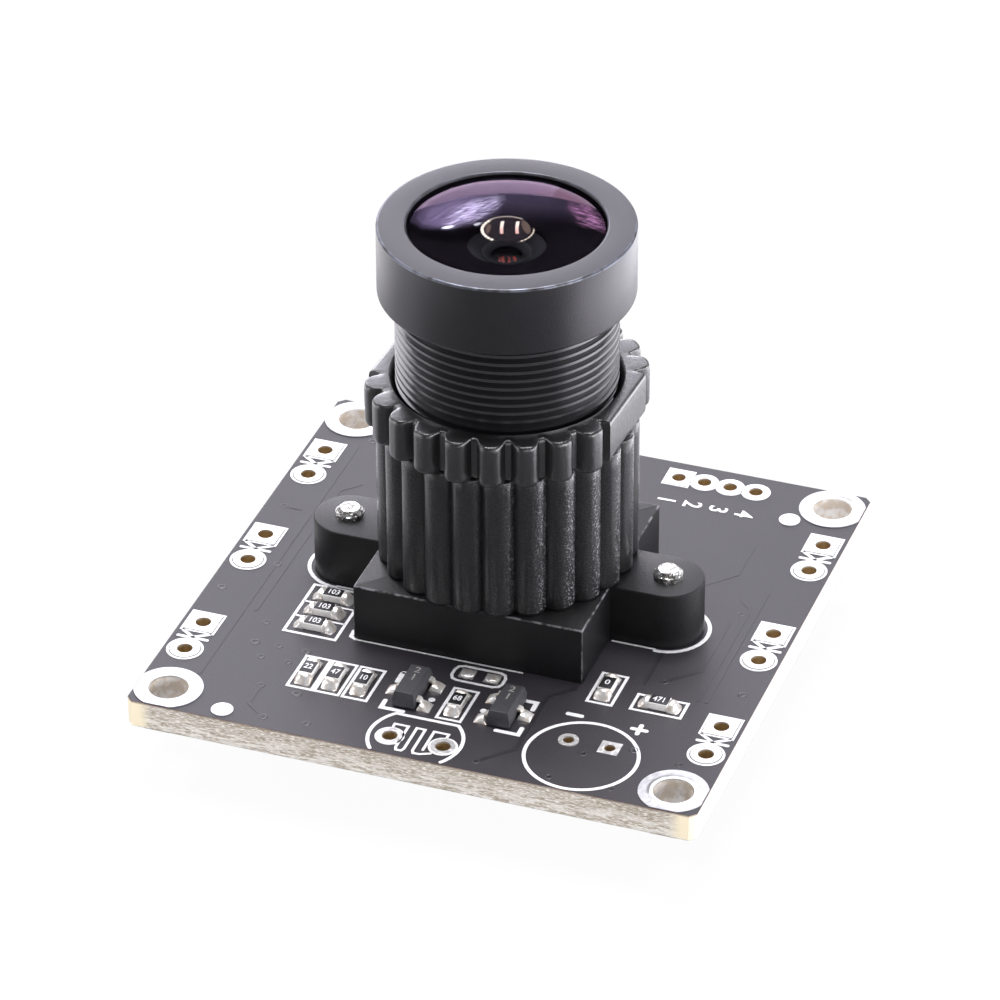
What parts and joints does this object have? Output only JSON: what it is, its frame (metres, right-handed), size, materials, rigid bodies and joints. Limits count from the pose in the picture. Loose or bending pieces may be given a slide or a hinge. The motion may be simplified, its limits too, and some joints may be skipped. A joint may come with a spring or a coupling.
{
  "type": "camera module",
  "caption": "Square board camera with plated corner holes, a ribbed lens holder screwed on from below, and a screw-in wide-angle lens with a scalloped lock ring.",
  "frame": {"origin": "on the lens axis at the board's component face, which is the centre of the four corner holes", "axes": "+Z along the lens axis, out of the lens; +X along the board's front edge, from the resistor side to the capacitor side; +Y from the light-sensor edge to the cable-pad edge"},
  "size_m": [0.032, 0.0323, 0.0294],
  "materials": {
    "masked_board": "glass-fibre board under matt black solder mask",
    "tinned_copper": "hot-tinned copper, bright and slightly uneven",
    "ceramic": "white alumina",
    "overglaze": "black glaze",
    "tinned_ends": "dull tin",
    "moulding_compound": "black epoxy, matt",
    "tinned_leads": "tinned",
    "solder": "bright solder",
    "holder_plastic": "moulded black plastic, fine spark texture on the ribs",
    "ring_plastic": "moulded black plastic, satin",
    "screw_steel": "nickel-plated steel",
    "package_ceramic": "dark ceramic",
    "silicon": "polished silicon",
    "cover_glass": "clear",
    "filter_glass": "infrared-blocking, pale cyan",
    "black_anodised": "black anodised aluminium, satin",
    "coated_glass": "optical glass with a violet anti-reflection coating",
    "seal_rubber": "black rubber",
    "crystal_steel": "drawn steel can",
    "connector_nylon": "natural nylon",
    "contact_brass": "tinned brass",
    "ferrite": "grey ferrite",
    "capacitor_ceramic": "brown ceramic"
  },
  "bodies": {
    "module": {"circuit_board": "masked_board", "corner_hole_rings": "tinned_copper", "led_pads": "tinned_copper", "usb_pads": "tinned_copper", "light_sensor_pads": "tinned_copper", "capacitor_pads": "tinned_copper", "solder_lands": "tinned_copper", "chip_resistor_bodies": "ceramic", "chip_resistor_films": "overglaze", "chip_resistor_ends": "tinned_ends", "transistor_bodies": "moulding_compound", "transistor_leads": "tinned_leads", "solder_joints": "solder", "lens_holder": "holder_plastic", "holder_screws": "screw_steel", "sensor_package": "package_ceramic", "sensor_die": "silicon", "sensor_cover_glass": "cover_glass", "ir_cut_filter": "filter_glass", "camera_controller": "moulding_compound", "controller_leads": "tinned_leads", "flash_memory": "moulding_compound", "flash_memory_leads": "tinned_leads", "crystal_base": "moulding_compound", "crystal_can": "crystal_steel", "usb_connector_housing": "connector_nylon", "usb_connector_contacts": "contact_brass", "usb_connector_tabs": "tinned_leads", "inductor_core": "ferrite", "inductor_terminals": "tinned_ends", "regulator_bodies": "moulding_compound", "regulator_leads": "tinned_leads", "chip_capacitor_bodies": "capacitor_ceramic", "chip_capacitor_ends": "tinned_ends"},
    "lens_optics": {"front_element": "coated_glass", "front_o_ring": "seal_rubber", "second_element": "coated_glass", "front_spacer": "black_anodised", "aperture_stop": "black_anodised", "doublet_flint": "coated_glass", "doublet_crown": "coated_glass", "middle_spacer": "black_anodised", "fifth_element": "coated_glass", "rear_spacer": "black_anodised", "rear_element": "coated_glass", "retaining_ring": "black_anodised"},
    "lens_barrel": {"lens_barrel": "black_anodised"},
    "lock_ring": {"lock_ring": "ring_plastic"}
  },
  "joints": [
    {"name": "lens_travel", "type": "slide", "parent": "module", "child": "lens_optics", "axis": [0, 0, 1], "range_m": [-0.0005, 0.0005]},
    {"name": "lens_turn", "type": "hinge", "parent": "lens_optics", "child": "lens_barrel", "pos_m": [0, 0, 0.012], "axis": [0, 0, 1], "range_deg": [-360, 360]},
    {"name": "lock_ring_turn", "type": "hinge", "parent": "module", "child": "lock_ring", "pos_m": [0, 0, 0.0132], "axis": [0, 0, 1], "range_deg": [0, 180]}
  ],
  "couplings": [
    {"joint": "lens_turn", "follows": "lens_travel", "rad_per_m": 12566}
  ]
}
